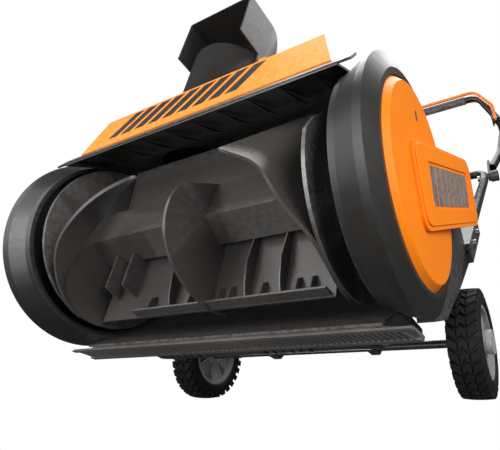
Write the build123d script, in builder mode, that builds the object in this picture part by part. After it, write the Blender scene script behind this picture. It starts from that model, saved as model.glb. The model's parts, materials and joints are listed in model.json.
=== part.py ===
"""Single stage electric snow thrower, in millimetres.

X runs across the machine, the mouth faces -Y and +Z is up. The origin is at the bottom centre of
the whole machine, at rest on the ground. Side profiles are drawn as (y, z) from the auger axis.
"""
import os
from math import acos, atan2, cos, degrees, hypot, radians, sin

from build123d import *

# ---- driving dimensions --------------------------------------------------------------------
AUGER_HEIGHT = 150.0
AUGER_Y = -338.2
DRUM_INNER_R = 126.0
WALL = 3.0
DRUM_HALF_WIDTH = 213.0
CAP_OUTER_X = 258.0
CAP_RIM_R = 139.0
CAP_WALL_X = 236.0
COVER_EDGE_R = 113.0
COVER_FACE_R = 105.5
COVER_FACE_X = 262.8
SCRAPER_HALF_WIDTH = 242.0
SHAFT_R = 8.0
ROTOR_R = 118.0
ROTOR_HALF_LENGTH = 206.0
RUNNING_GAP = 0.05
WHEEL_R = 76.5
WHEEL_WIDTH = 46.0
WHEEL_MID_X = 244.0
AXLE_R = 6.0
AXLE_YZ = (287.0, -73.5)
CHUTE_X = -85.0
CHUTE_Y = 8.0
CHUTE_R = 66.0
CHUTE_TOP = 345.0
POD_CENTRE = (67.0, 36.0)
POD_LENGTH = 244.0
POD_WIDTH = 92.0
POD_SLOPE = 32.0
MOTOR_YZ = (146.0, 84.0)
MOTOR_R = 36.0
MOTOR_PULLEY_R = 14.0
AUGER_PULLEY_R = 47.0
BELT_THICKNESS = 4.0
BELT_MID_X = 253.0
BELT_WIDTH = 7.0
CHASSIS_HALF_WIDTH = 150.0
TUBE_R = 11.0
TUBE_BORE_R = 9.4
LEG_X = 238.0
ARM_X = 262.0
FOLD_YZ = (691.0, 526.0)
KNEE_YZ = (682.0, 509.0)
BAR_YZ = (719.0, 877.0)
GRIP_R = 13.0
BAIL_R = 5.0
BAIL_OFFSET = (-31.0, -5.0)
BAIL_PIVOT_YZ = (726.0, 775.0)

SIDES = {"right": 1, "left": -1}


# ---- helpers -------------------------------------------------------------------------------
def side_plane(x=0.0, at=(0.0, 0.0)):
    """A plane across X whose sketch axes are (y, z), its origin at a point seen from the auger axis."""
    return Plane((x, AUGER_Y + at[0], AUGER_HEIGHT + at[1]), x_dir=(0, 1, 0), z_dir=(1, 0, 0))


def turning_plane(at=(0.0, 0.0)):
    """A plane along X whose sketch axes are (x, radius), for parts turned about an axis along X."""
    return Plane((0, AUGER_Y + at[0], AUGER_HEIGHT + at[1]), x_dir=(1, 0, 0), z_dir=(0, -1, 0))


def axis_at(at):
    """The line along X through a point given from the auger axis."""
    return Axis((0, AUGER_Y + at[0], AUGER_HEIGHT + at[1]), (1, 0, 0))


def place(x, y, z):
    """A point of the machine, given from the auger axis."""
    return Vector(x, AUGER_Y + y, AUGER_HEIGHT + z)


def save(builder, name):
    """Labels a finished sub-part and writes it."""
    builder.part.label = name
    export_step(builder.part, f"parts/{name}.step")


def turned(points, at=(0.0, 0.0), mode=Mode.ADD):
    """Revolves a closed (x, radius) outline about an axis along X."""
    with BuildSketch(turning_plane(at)) as outline:
        with BuildLine():
            Polyline(*points, close=True)
        make_face()
    revolve(outline.sketch, axis=axis_at(at), mode=mode)


def disc(x_from, x_to, radius, at=(0.0, 0.0), mode=Mode.ADD):
    """A round disc or bar along X."""
    with BuildSketch(side_plane(min(x_from, x_to), at)) as outline:
        Circle(radius)
    extrude(outline.sketch, amount=abs(x_to - x_from), mode=mode)


def slab(x_from, x_to, points, mode=Mode.ADD):
    """A closed (y, z) outline, extruded along X."""
    with BuildSketch(side_plane(min(x_from, x_to))) as outline:
        with BuildLine():
            Polyline(*points, close=True)
        make_face()
    extrude(outline.sketch, amount=abs(x_to - x_from), mode=mode)


def tube_along(points, radii, radius, bore=0.0):
    """A round bar, or a tube where a bore is given, swept along straight runs joined by arcs."""
    with BuildLine() as path:
        FilletPolyline(*points, radius=radii)
    with BuildSketch(Plane(origin=path.line @ 0, z_dir=path.line % 0)) as section:
        Circle(radius)
        if bore:
            Circle(bore, mode=Mode.SUBTRACT)
    sweep(section.sketch, path=path.wire())


os.makedirs("parts", exist_ok=True)

# ---- auger housing: scraper ramp, round drum wall, roof, lip and chute collar -----------------
RAMP_FOOT = (16.0, -143.0)
LIP_YZ = (-121.0, 71.5)
drum_r = DRUM_INNER_R + WALL / 2
ramp_angle = atan2(RAMP_FOOT[1], RAMP_FOOT[0]) + acos(drum_r / hypot(*RAMP_FOOT))
ramp_top = (drum_r * cos(ramp_angle), drum_r * sin(ramp_angle))
roof_angle = atan2(LIP_YZ[1], LIP_YZ[0]) - acos(drum_r / hypot(*LIP_YZ))
roof_start = (drum_r * cos(roof_angle), drum_r * sin(roof_angle))
COLLAR_R = CHUTE_R - WALL - 1.0
COLLAR_TOP = 174.0
LIP_HALF_WIDTH = 228.0
LIP_BACK_YZ = (-110.5, 91.0)

with BuildPart() as auger_housing:
    with BuildSketch(side_plane(-DRUM_HALF_WIDTH)):
        with BuildLine():
            Line(RAMP_FOOT, ramp_top)
            CenterArc((0, 0), drum_r, degrees(ramp_angle), degrees(roof_angle - ramp_angle))
            Line(roof_start, LIP_YZ)
        trace(line_width=WALL)
    extrude(amount=2 * DRUM_HALF_WIDTH)
    with BuildSketch(Plane.XY.offset(AUGER_HEIGHT + DRUM_INNER_R - 60)):
        with Locations((CHUTE_X, AUGER_Y + CHUTE_Y)):
            Circle(COLLAR_R)
    extrude(amount=COLLAR_TOP - DRUM_INNER_R + 60)
    with BuildSketch(Plane.XY.offset(AUGER_HEIGHT)):
        with Locations((CHUTE_X, AUGER_Y + CHUTE_Y)):
            Circle(COLLAR_R - WALL)
    extrude(amount=COLLAR_TOP + 1, mode=Mode.SUBTRACT)
    disc(-DRUM_HALF_WIDTH, DRUM_HALF_WIDTH, DRUM_INNER_R, mode=Mode.SUBTRACT)
    with BuildSketch(side_plane(-LIP_HALF_WIDTH)):
        with BuildLine():
            Line(LIP_YZ, LIP_BACK_YZ)
        trace(line_width=WALL)
    extrude(amount=2 * LIP_HALF_WIDTH)
    for sign in SIDES.values():
        disc(sign * DRUM_HALF_WIDTH, sign * (LIP_HALF_WIDTH + 1), CAP_RIM_R + 0.3, mode=Mode.SUBTRACT)
save(auger_housing, "auger_housing")

# ---- end caps: bell-shaped rims with a wall that carries the auger bearing --------------------
BEARING_R = 16.0
POD_NOTCH_X = 240.2
rim_in = DRUM_HALF_WIDTH + 0.3
cap_outline = [
    (rim_in, 121.0),
    (rim_in, 126.5),
    (220.0, 128.0),
    (241.0, 137.0),
    (250.0, CAP_RIM_R),
    (CAP_OUTER_X, 120.0),
    (CAP_OUTER_X, COVER_EDGE_R + 0.4),
    (254.0, COVER_EDGE_R + 0.4),
    (254.0, 118.0),
    (248.5, 131.5),
    (240.0, 131.5),
    (240.0, BEARING_R + 0.02),
    (CAP_WALL_X, BEARING_R + 0.02),
    (CAP_WALL_X, 121.0),
]
for side, sign in SIDES.items():
    with BuildPart() as end_cap:
        turned([(sign * x, r) for x, r in cap_outline])
        if side == "right":
            with BuildSketch(side_plane(POD_NOTCH_X)):
                with Locations(Location(POD_CENTRE, POD_SLOPE)):
                    RectangleRounded(POD_LENGTH + 1, POD_WIDTH + 1, 16)
            extrude(amount=CAP_OUTER_X + 1 - POD_NOTCH_X, mode=Mode.SUBTRACT)
    save(end_cap, f"{side}_end_cap")

for side, sign in SIDES.items():
    with BuildPart() as bearing:
        low, high = sorted((sign * (CAP_WALL_X - 2), sign * (CAP_WALL_X + 6)))
        disc(low, high, BEARING_R)
        disc(low, high, SHAFT_R + RUNNING_GAP, mode=Mode.SUBTRACT)
    save(bearing, f"{side}_shaft_bearing")

# ---- side covers: bevelled discs, the right one with a raised belt pod ------------------------
POD_FRONT_X = 266.0
POD_REAR_X = 282.0
COVER_INNER_X = 254.5
POD_BASE_X = 246.5
COVER_OUTLINE = [
    (COVER_INNER_X, 0),
    (COVER_INNER_X, COVER_EDGE_R),
    (COVER_FACE_X, COVER_FACE_R),
    (COVER_FACE_X, 0),
]


def pod_outline(length, width, corner):
    """A rounded rectangle along the belt run, drawn in the current side plane."""
    with Locations(Location(POD_CENTRE, POD_SLOPE)):
        RectangleRounded(length, width, corner)


def pod_top_plane(inset):
    """The slanted outer face of the pod, low at its front and high at its rear."""
    rise = atan2(POD_REAR_X - POD_FRONT_X, POD_LENGTH)
    slope = radians(POD_SLOPE)
    normal = (cos(rise), -sin(rise) * cos(slope), -sin(rise) * sin(slope))
    middle = place((POD_FRONT_X + POD_REAR_X) / 2 - inset, *POD_CENTRE)
    return Plane(middle, x_dir=(0, -sin(slope), cos(slope)), z_dir=normal)


with BuildPart() as pod_cavity:
    with BuildSketch(side_plane(COVER_INNER_X - 10)):
        pod_outline(POD_LENGTH - 2 * WALL, POD_WIDTH - 2 * WALL, 13)
    extrude(amount=POD_REAR_X + 20 - COVER_INNER_X)
    split(bisect_by=pod_top_plane(WALL), keep=Keep.BOTTOM)

with BuildPart() as drive_side_cover:
    with BuildSketch(side_plane(POD_BASE_X)):
        pod_outline(POD_LENGTH, POD_WIDTH, 16)
    extrude(amount=POD_REAR_X + 10 - POD_BASE_X)
    split(bisect_by=pod_top_plane(0), keep=Keep.BOTTOM)
    disc(POD_BASE_X - 1, COVER_INNER_X, COVER_EDGE_R + 6, mode=Mode.SUBTRACT)
    turned(COVER_OUTLINE)
    disc(COVER_INNER_X - 1, COVER_FACE_X - WALL, COVER_FACE_R - WALL, mode=Mode.SUBTRACT)
    add(pod_cavity.part, mode=Mode.SUBTRACT)
save(drive_side_cover, "drive_side_cover")

with BuildPart() as plain_side_cover:
    turned([(-x, r) for x, r in COVER_OUTLINE])
    disc(-COVER_FACE_X + WALL, -COVER_INNER_X + 1, COVER_FACE_R - WALL, mode=Mode.SUBTRACT)
save(plain_side_cover, "plain_side_cover")

# ---- hood cover over the roof, with a round hole for the chute --------------------------------
HOOD_PROFILE = [(-112.5, 93.5), (-104, 158), (-88, 171), (52, 171), (80, 146), (80, 60), (0, 60)]
HOOD_BASE_HALF = 200.0
HOOD_TOP_HALF = 178.0
HOOD_TOP = 171.0
HOOD_SHOULDER = 95.0
hood_floor = drum_r + WALL / 2 + 0.4


def hood_block(shrink):
    """The solid form of the hood, drawn in by a wall thickness where asked."""
    with BuildPart() as block:
        with BuildSketch(side_plane(-HOOD_BASE_HALF)):
            with BuildLine():
                Polyline(*HOOD_PROFILE, close=True)
            make_face()
            if shrink:
                offset(amount=-shrink, kind=Kind.INTERSECTION)
        extrude(amount=2 * HOOD_BASE_HALF)
        with BuildSketch(Plane.XZ.offset(-AUGER_Y - 200)):
            with BuildLine():
                Polyline(
                    (HOOD_BASE_HALF - shrink, AUGER_HEIGHT),
                    (HOOD_BASE_HALF - shrink, AUGER_HEIGHT + HOOD_SHOULDER),
                    (HOOD_TOP_HALF - shrink, AUGER_HEIGHT + HOOD_TOP),
                    (shrink - HOOD_TOP_HALF, AUGER_HEIGHT + HOOD_TOP),
                    (shrink - HOOD_BASE_HALF, AUGER_HEIGHT + HOOD_SHOULDER),
                    (shrink - HOOD_BASE_HALF, AUGER_HEIGHT),
                    close=True,
                )
            make_face()
        extrude(amount=400, mode=Mode.INTERSECT)
    return block.part


hood_outside = hood_block(0)
hood_inside = hood_block(WALL)
with BuildPart() as hood_cover:
    add(hood_outside)
    add(hood_inside, mode=Mode.SUBTRACT)
    disc(-HOOD_BASE_HALF - 1, HOOD_BASE_HALF + 1, hood_floor, mode=Mode.SUBTRACT)
    slab(
        -HOOD_BASE_HALF - 1,
        HOOD_BASE_HALF + 1,
        [
            (hood_floor * cos(roof_angle), hood_floor * sin(roof_angle)),
            (LIP_BACK_YZ[0] + 1.9, LIP_BACK_YZ[1] + 1.0),
            (LIP_BACK_YZ[0] - 12, LIP_BACK_YZ[1] + 1.0),
            (LIP_YZ[0], LIP_YZ[1] - 30),
            (0, 40),
        ],
        mode=Mode.SUBTRACT,
    )
    with BuildSketch(Plane.XY.offset(AUGER_HEIGHT)):
        with Locations((CHUTE_X, AUGER_Y + CHUTE_Y)):
            Circle(CHUTE_R - 1)
    extrude(amount=HOOD_TOP + 10, mode=Mode.SUBTRACT)
save(hood_cover, "hood_cover")

# ---- scraper bar along the foot of the ramp ---------------------------------------------------
SCRAPER_PROFILE = [
    (12.0, -AUGER_HEIGHT),
    (52.0, -AUGER_HEIGHT),
    (58.0, -143.0),
    (52.0, -142.5),
    (21.0, -144.8),
    (17.0, -145.6),
]
with BuildPart() as scraper_bar:
    slab(-SCRAPER_HALF_WIDTH, SCRAPER_HALF_WIDTH, SCRAPER_PROFILE)
save(scraper_bar, "scraper_bar")

# ---- auger: steel shaft, one-piece moulded rotor and driven pulley ----------------------------
FLIGHT_THICKNESS = 4.0
CORE_WALL = 3.0
CORE_PROFILE = [(-11, -36), (-45, -15), (-39, 36), (-12, 53), (24, 12), (19, -17)]
END_DISCS = [(-200.0, -196.0), (183.0, 187.0)]
CENTRE_DISC = (6.0, 10.0)
CENTRE_RIM = [(-91, 3), (-100, -50), (-90, -74), (-57, -102), (-14, -116), (30, -113)]
PADDLE_SPANS = [(-178.0, 8.0), (8.0, 170.0)]
PADDLE_DEPTHS = (-ROTOR_R + 1.5, -28.0)
PADDLE_BACK = 4.0
RIGHT_DISC_CUT = [
    (-125.0, -4.0), (-117.8, -1.0), (-107.6, 22.5), (-95.0, 39.5), (-80.0, 55.5), (-33.5, 113.0), (-33.5, 122.0),
    (-125.0, 122.0),
]
WING_PROFILE = [(-25.0, 44.0), (-33.0, 113.2), (-29.0, 114.3), (-21.0, 44.0)]
# Each swept flight lies between two edges, both given as (x, radius, degrees about the axis).
RIGHT_FLIGHT_RIM = [
    (178, 118, -80), (184, 118, -108), (178, 118, -129), (157, 118, -147), (134, 118, -166), (108, 118, -175),
    (81, 118, -183),
]
RIGHT_FLIGHT_ROOT = [
    (183, 114, -84), (181, 108, -109), (174, 96, -125), (165, 84, -143), (152, 67, -180), (148, 76, -210),
    (150, 117, -251),
]
LEFT_FLIGHT_RIM = [
    (-199, 118, -99), (-190, 118, -124), (-170, 118, -152), (-146, 118, -164.5), (-100, 118, -178),
    (-46, 118, -183),
]
LEFT_FLIGHT_ROOT = [
    (-199, 112, -103), (-193, 107, -126), (-175, 87, -147), (-150, 77, -175), (-110, 92, -186),
    (-50, 112, -186),
]
with BuildPart() as auger_shaft:
    disc(-CAP_WALL_X - 8, COVER_FACE_X - WALL - 1.3, SHAFT_R)
save(auger_shaft, "auger_shaft")


def edge_through(stations):
    """A smooth edge through points given by their place along X, radius and angle."""
    points = [place(x, r * cos(radians(turn)), r * sin(radians(turn))) for x, r, turn in stations]
    return Spline(*points)


def swept_flight(rim, root):
    """A curved blade of even thickness between its rim and its inner edge."""
    sheet = Face.make_surface_from_curves(edge_through(rim), edge_through(root))
    with BuildPart() as blade:
        thicken(sheet, amount=FLIGHT_THICKNESS / 2, both=True)
    return blade.part


right_flight = swept_flight(RIGHT_FLIGHT_RIM, RIGHT_FLIGHT_ROOT)
left_flight = swept_flight(LEFT_FLIGHT_RIM, LEFT_FLIGHT_ROOT)
with BuildPart() as auger_rotor:
    slab(-ROTOR_HALF_LENGTH, ROTOR_HALF_LENGTH, CORE_PROFILE)
    with BuildSketch(side_plane(CORE_WALL - ROTOR_HALF_LENGTH)) as core_hollow:
        with BuildLine():
            Polyline(*CORE_PROFILE, close=True)
        make_face()
        offset(amount=-CORE_WALL, kind=Kind.INTERSECTION)
        Circle(SHAFT_R + CORE_WALL, mode=Mode.SUBTRACT)
    extrude(core_hollow.sketch, amount=2 * (ROTOR_HALF_LENGTH - CORE_WALL), mode=Mode.SUBTRACT)
    for x_low, x_high in PADDLE_SPANS:
        slab(x_low, x_high, [(0, PADDLE_DEPTHS[0]), (PADDLE_BACK, PADDLE_DEPTHS[0]),
                             (PADDLE_BACK, PADDLE_DEPTHS[1] + 12), (0, PADDLE_DEPTHS[1] + 12)])
        slab(x_low, x_high, WING_PROFILE)
    for x_low, x_high in END_DISCS:
        disc(x_low, x_high, ROTOR_R)
    slab(END_DISCS[1][0] - 1, END_DISCS[1][1] + 1, RIGHT_DISC_CUT, mode=Mode.SUBTRACT)
    with BuildSketch(side_plane(CENTRE_DISC[0])) as centre_disc:
        with BuildLine():
            Spline(*CENTRE_RIM)
            Polyline(CENTRE_RIM[-1], (24, -10), (-12, 40), (-36, 40), CENTRE_RIM[0])
        make_face()
    extrude(centre_disc.sketch, amount=CENTRE_DISC[1] - CENTRE_DISC[0])
    add(right_flight)
    add(left_flight)
    disc(-ROTOR_HALF_LENGTH - 1, ROTOR_HALF_LENGTH + 1, SHAFT_R + 0.02, mode=Mode.SUBTRACT)
save(auger_rotor, "auger_rotor")

belt_low = BELT_MID_X - BELT_WIDTH / 2
belt_high = BELT_MID_X + BELT_WIDTH / 2
with BuildPart() as auger_pulley:
    disc(belt_low - 2, belt_high + 1.5, AUGER_PULLEY_R - 3)
    disc(belt_low, belt_high, AUGER_PULLEY_R)
    disc(belt_low - 3, belt_high + 2, SHAFT_R + 0.02, mode=Mode.SUBTRACT)
save(auger_pulley, "auger_pulley")

# ---- drive: motor, its shaft, fan and pulley, and the belt ------------------------------------
MOTOR_SHAFT_R = 5.0
MOTOR_SPAN = (62.0, 212.0)
BELT_GAP = 0.35
with BuildPart() as motor:
    disc(*MOTOR_SPAN, MOTOR_R, at=MOTOR_YZ)
    disc(MOTOR_SPAN[0] - 1, MOTOR_SPAN[1] + 1, MOTOR_SHAFT_R + RUNNING_GAP, at=MOTOR_YZ, mode=Mode.SUBTRACT)
save(motor, "motor")

with BuildPart() as motor_shaft:
    disc(MOTOR_SPAN[0] - 22, belt_high + 3, MOTOR_SHAFT_R, at=MOTOR_YZ)
save(motor_shaft, "motor_shaft")

with BuildPart() as motor_fan:
    disc(MOTOR_SPAN[0] - 16, MOTOR_SPAN[0] - 6, 12, at=MOTOR_YZ)
    for blade in range(8):
        with BuildSketch(side_plane(MOTOR_SPAN[0] - 16, MOTOR_YZ)) as vane:
            with Locations(Location((0, 0), blade * 45.0)):
                with Locations((20, 0)):
                    Rectangle(22, 2.5)
        extrude(vane.sketch, amount=10)
    disc(MOTOR_SPAN[0] - 17, MOTOR_SPAN[0] - 5, MOTOR_SHAFT_R + 0.02, at=MOTOR_YZ, mode=Mode.SUBTRACT)
save(motor_fan, "motor_fan")

with BuildPart() as motor_pulley:
    disc(belt_low, belt_high, MOTOR_PULLEY_R, at=MOTOR_YZ)
    disc(belt_low - 1.5, belt_low - 0.3, MOTOR_PULLEY_R + 4, at=MOTOR_YZ)
    disc(belt_low - 0.4, belt_low + 0.1, MOTOR_PULLEY_R - 1, at=MOTOR_YZ)
    disc(belt_low - 3, belt_high + 1, MOTOR_SHAFT_R + 0.02, at=MOTOR_YZ, mode=Mode.SUBTRACT)
save(motor_pulley, "motor_pulley")

with BuildPart() as drive_belt:
    for grow, mode in ((BELT_GAP + BELT_THICKNESS, Mode.ADD), (BELT_GAP, Mode.SUBTRACT)):
        with BuildSketch(side_plane(belt_low)) as loop:
            Circle(AUGER_PULLEY_R + grow)
            with Locations(MOTOR_YZ):
                Circle(MOTOR_PULLEY_R + grow)
            make_hull()
        extrude(loop.sketch, amount=BELT_WIDTH, mode=mode)
save(drive_belt, "drive_belt")

# ---- chassis below and motor cover above, behind the drum -------------------------------------
SPLIT_Z = 20.0
CHASSIS_PROFILE = [(60, -100), (78, -108), (140, -108), (230, -72), (318, -62), (300, SPLIT_Z), (60, SPLIT_Z)]
GUARD_PROFILE = [(64, -113.5), (100, -121), (140, -124), (156, -120), (150, -100), (90, -100)]
GUARD_X = (-205.0, 212.0)
GUARD_TAPER = [(134, -125.5), (GUARD_X[1] + 1, -125.5), (GUARD_X[1] + 1, -106)]
BRACKET_PROFILE = [(258, -66), (316, -62.5), (300, -81.5), (274, -81.5)]
BRACKET_X = (86.0, 100.0)
COVER_PROFILE = [(100, SPLIT_Z), (300, SPLIT_Z), (240, 112), (196, 122), (120, 142), (84, 130), (84, SPLIT_Z)]
MOTOR_COVER_RIGHT_X = 222.0
DRUM_CLEAR_R = drum_r + WALL / 2 + 0.5
SLOT_COUNT = 6
SLOT_PITCH = 14.0
SLOT_GROUPS = (-157.0, 34.0)


def shell(x_low, x_high, points, opening):
    """A hollow casing: an outline extruded along X, hollowed, with one flat side left open."""
    slab(x_low, x_high, points)
    with BuildSketch(side_plane(x_low + WALL)) as inside:
        with BuildLine():
            Polyline(*points, close=True)
        make_face()
        offset(amount=-WALL, kind=Kind.INTERSECTION)
    extrude(inside.sketch, amount=x_high - x_low - 2 * WALL, mode=Mode.SUBTRACT)
    slab(x_low + WALL, x_high - WALL, opening, mode=Mode.SUBTRACT)


with BuildPart() as chassis:
    shell(
        -CHASSIS_HALF_WIDTH, CHASSIS_HALF_WIDTH, CHASSIS_PROFILE,
        [(63, 0), (296, 0), (296, SPLIT_Z + 1), (63, SPLIT_Z + 1)],
    )
    shell(*GUARD_X, GUARD_PROFILE, [(94, -104), (146, -104), (146, -99), (94, -99)])
    with BuildSketch(Plane.XZ.offset(-AUGER_Y - 200)) as taper:
        with BuildLine():
            Polyline(*[(x, AUGER_HEIGHT + z) for x, z in GUARD_TAPER], close=True)
        make_face()
    extrude(taper.sketch, amount=150, mode=Mode.SUBTRACT)
    disc(GUARD_X[0] - 1, GUARD_X[1] + 1, DRUM_CLEAR_R, mode=Mode.SUBTRACT)
    for sign in SIDES.values():
        slab(sign * BRACKET_X[0], sign * BRACKET_X[1], BRACKET_PROFILE)
    disc(-CHASSIS_HALF_WIDTH - 1, CHASSIS_HALF_WIDTH + 1, AXLE_R + 0.03, at=AXLE_YZ, mode=Mode.SUBTRACT)
    with BuildSketch(Plane.XY.offset(AUGER_HEIGHT - 128)) as slots:
        for group_x in SLOT_GROUPS:
            with Locations((group_x, AUGER_Y + 128)):
                with GridLocations(SLOT_PITCH, 1, SLOT_COUNT, 1):
                    SlotOverall(34, 5, rotation=90)
    extrude(slots.sketch, amount=13, mode=Mode.SUBTRACT)
save(chassis, "chassis")

with BuildPart() as motor_cover:
    shell(
        -CHASSIS_HALF_WIDTH, MOTOR_COVER_RIGHT_X, COVER_PROFILE,
        [(87, SPLIT_Z - 1), (296, SPLIT_Z - 1), (294, SPLIT_Z + 4), (87, SPLIT_Z + 4)],
    )
    disc(-CHASSIS_HALF_WIDTH - 1, MOTOR_COVER_RIGHT_X + 1, DRUM_CLEAR_R, mode=Mode.SUBTRACT)
    disc(DRUM_HALF_WIDTH, MOTOR_COVER_RIGHT_X + 1, CAP_RIM_R + 0.5, mode=Mode.SUBTRACT)
    disc(MOTOR_COVER_RIGHT_X - 5, MOTOR_COVER_RIGHT_X + 1, MOTOR_SHAFT_R + 2, at=MOTOR_YZ, mode=Mode.SUBTRACT)
save(motor_cover, "motor_cover")

# ---- side arms that carry the handle legs -----------------------------------------------------
LEG_FOOT = (290.0, 72.0)
LEG_BOLT_R = 3.0
LEG_BOLT_RUNS = (50.0, 110.0)
ARM_X_RANGE = (226.0, 246.0)
BOSS_X_RANGE = (223.0, 253.0)
ARM_PROFILE = [
    (0, 0), (84, -118), (132, -98), (222, -18), (302, 61), (402, 173), (378, 195), (278, 83), (240, 110),
    (196, 120), (150, 128), (60, 128),
]
BOSS_PROFILE = [(302, 61), (402, 173), (378, 195), (278, 83)]
leg_run = Vector(0, KNEE_YZ[0] - LEG_FOOT[0], KNEE_YZ[1] - LEG_FOOT[1]).normalized()
leg_bolt_places = [(LEG_FOOT[0] + run * leg_run.Y, LEG_FOOT[1] + run * leg_run.Z) for run in LEG_BOLT_RUNS]
for side, sign in SIDES.items():
    with BuildPart() as side_arm:
        slab(sign * ARM_X_RANGE[0], sign * ARM_X_RANGE[1], ARM_PROFILE)
        slab(sign * BOSS_X_RANGE[0], sign * BOSS_X_RANGE[1], BOSS_PROFILE)
        disc(sign * 200, sign * 260, CAP_RIM_R + 0.5, mode=Mode.SUBTRACT)
        disc(sign * 220, sign * 250, MOTOR_SHAFT_R + 2, at=MOTOR_YZ, mode=Mode.SUBTRACT)
        socket_mouth = place(sign * LEG_X, LEG_FOOT[0], LEG_FOOT[1])
        with BuildSketch(Plane(socket_mouth, x_dir=(1, 0, 0), z_dir=leg_run)) as socket:
            Circle(TUBE_R + 0.05)
        extrude(socket.sketch, amount=200, mode=Mode.SUBTRACT)
        for bolt_yz in leg_bolt_places:
            disc(sign * 215, sign * 260, LEG_BOLT_R + 0.02, at=bolt_yz, mode=Mode.SUBTRACT)
    save(side_arm, f"{side}_side_arm")

with BuildPart() as leg_bolts:
    for sign in SIDES.values():
        for bolt_yz in leg_bolt_places:
            disc(sign * BOSS_X_RANGE[0], sign * BOSS_X_RANGE[1], LEG_BOLT_R, at=bolt_yz)
            disc(sign * (BOSS_X_RANGE[1] + 0.05), sign * (BOSS_X_RANGE[1] + 4), 6, at=bolt_yz)
            disc(sign * (BOSS_X_RANGE[1] - 1), sign * (BOSS_X_RANGE[1] + 1), LEG_BOLT_R, at=bolt_yz)
save(leg_bolts, "leg_bolts")

# ---- axle and wheels --------------------------------------------------------------------------
AXLE_HALF_LENGTH = 269.5
RIM_R = 52.0
HUB_R = 17.0
SPOKE_COUNT = 6
wheel_low = WHEEL_MID_X - WHEEL_WIDTH / 2
wheel_high = WHEEL_MID_X + WHEEL_WIDTH / 2
with BuildPart() as axle:
    disc(-AXLE_HALF_LENGTH, AXLE_HALF_LENGTH, AXLE_R, at=AXLE_YZ)
save(axle, "axle")

for side, sign in SIDES.items():
    spoke_x = min(sign * (WHEEL_MID_X - 4), sign * (WHEEL_MID_X + 8))
    with BuildPart() as rim:
        turned(
            [(sign * x, r) for x, r in (
                (wheel_low + 3, RIM_R - 5), (wheel_high - 3, RIM_R - 5), (wheel_high - 3, RIM_R),
                (WHEEL_MID_X + 10, RIM_R - 0.02), (WHEEL_MID_X - 10, RIM_R - 0.02), (wheel_low + 3, RIM_R))],
            at=AXLE_YZ,
        )
        disc(sign * (wheel_low + 6), sign * (wheel_high - 3), HUB_R, at=AXLE_YZ)
        for spoke in range(SPOKE_COUNT):
            with BuildSketch(side_plane(spoke_x, AXLE_YZ)) as web:
                with Locations(Location((0, 0), spoke * 360.0 / SPOKE_COUNT)):
                    with Locations(((HUB_R + RIM_R) / 2 - 3, 0)):
                        Rectangle(RIM_R - HUB_R, 15)
            extrude(web.sketch, amount=12)
        disc(
            sign * (wheel_low - 1), sign * (wheel_high + 1), AXLE_R + RUNNING_GAP,
            at=AXLE_YZ, mode=Mode.SUBTRACT,
        )
    save(rim, f"{side}_wheel_rim")

    with BuildPart() as tyre:
        turned(
            [(sign * x, r) for x, r in (
                (wheel_low, RIM_R + 3), (wheel_low + 1, WHEEL_R - 6), (wheel_low + 7, WHEEL_R - 0.8),
                (WHEEL_MID_X - 8, WHEEL_R), (WHEEL_MID_X + 8, WHEEL_R), (wheel_high - 7, WHEEL_R - 0.8),
                (wheel_high - 1, WHEEL_R - 6), (wheel_high, RIM_R + 3), (wheel_high - 2, RIM_R + 0.02),
                (wheel_low + 2, RIM_R + 0.02))],
            at=AXLE_YZ,
        )
    save(tyre, f"{side}_tyre")

    with BuildPart() as hub_cap:
        disc(sign * (wheel_high - 2.9), sign * (wheel_high + 5), HUB_R, at=AXLE_YZ)
        disc(sign * (wheel_high - 3.9), sign * (wheel_high + 3.5), AXLE_R + 5, at=AXLE_YZ, mode=Mode.SUBTRACT)
    save(hub_cap, f"{side}_hub_cap")

    with BuildPart() as axle_clip:
        disc(sign * (wheel_high - 1), sign * (wheel_high + 0.5), AXLE_R + 3.5, at=AXLE_YZ)
        disc(sign * (wheel_high - 2), sign * (wheel_high + 2), AXLE_R + 0.01, at=AXLE_YZ, mode=Mode.SUBTRACT)
    save(axle_clip, f"{side}_axle_clip")

# ---- chute and its tilting deflector ----------------------------------------------------------
CHUTE_FOOT = 175.0
CHUTE_FLANGE_R = 74.0
DEFLECTOR_Z = 332.0
DEFLECTOR_R = 70.0
DEFLECTOR_TOP = 450.0
DEFLECTOR_SIDE_Y = -66.0
EAR_R = 15.0
PIVOT_R = 4.0


def chute_plane(z):
    """A level plane centred on the chute's axis."""
    return Plane.XY.offset(AUGER_HEIGHT + z).shift_origin((CHUTE_X, AUGER_Y + CHUTE_Y, AUGER_HEIGHT + z))


with BuildPart() as chute_tube:
    with BuildSketch(chute_plane(CHUTE_FOOT)):
        Circle(CHUTE_FLANGE_R)
    extrude(amount=5)
    with BuildSketch(chute_plane(CHUTE_FOOT)):
        Circle(CHUTE_R)
    extrude(amount=CHUTE_TOP - CHUTE_FOOT)
    with BuildSketch(chute_plane(CHUTE_FOOT - 1)):
        Circle(CHUTE_R - WALL)
    extrude(amount=CHUTE_TOP - CHUTE_FOOT + 2, mode=Mode.SUBTRACT)
    with BuildSketch(side_plane(CHUTE_X - CHUTE_R - 10, (CHUTE_Y, DEFLECTOR_Z))) as pivot_hole:
        Circle(PIVOT_R + 0.01)
    extrude(pivot_hole.sketch, amount=2 * CHUTE_R + 20, mode=Mode.SUBTRACT)
save(chute_tube, "chute_tube")

PIVOT_AT = (CHUTE_Y, DEFLECTOR_Z)
with BuildPart() as deflector_pivots:
    for sign in SIDES.values():
        disc(CHUTE_X + sign * (CHUTE_R - WALL - 2), CHUTE_X + sign * (DEFLECTOR_R + 1), PIVOT_R, at=PIVOT_AT)
save(deflector_pivots, "deflector_pivots")

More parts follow.
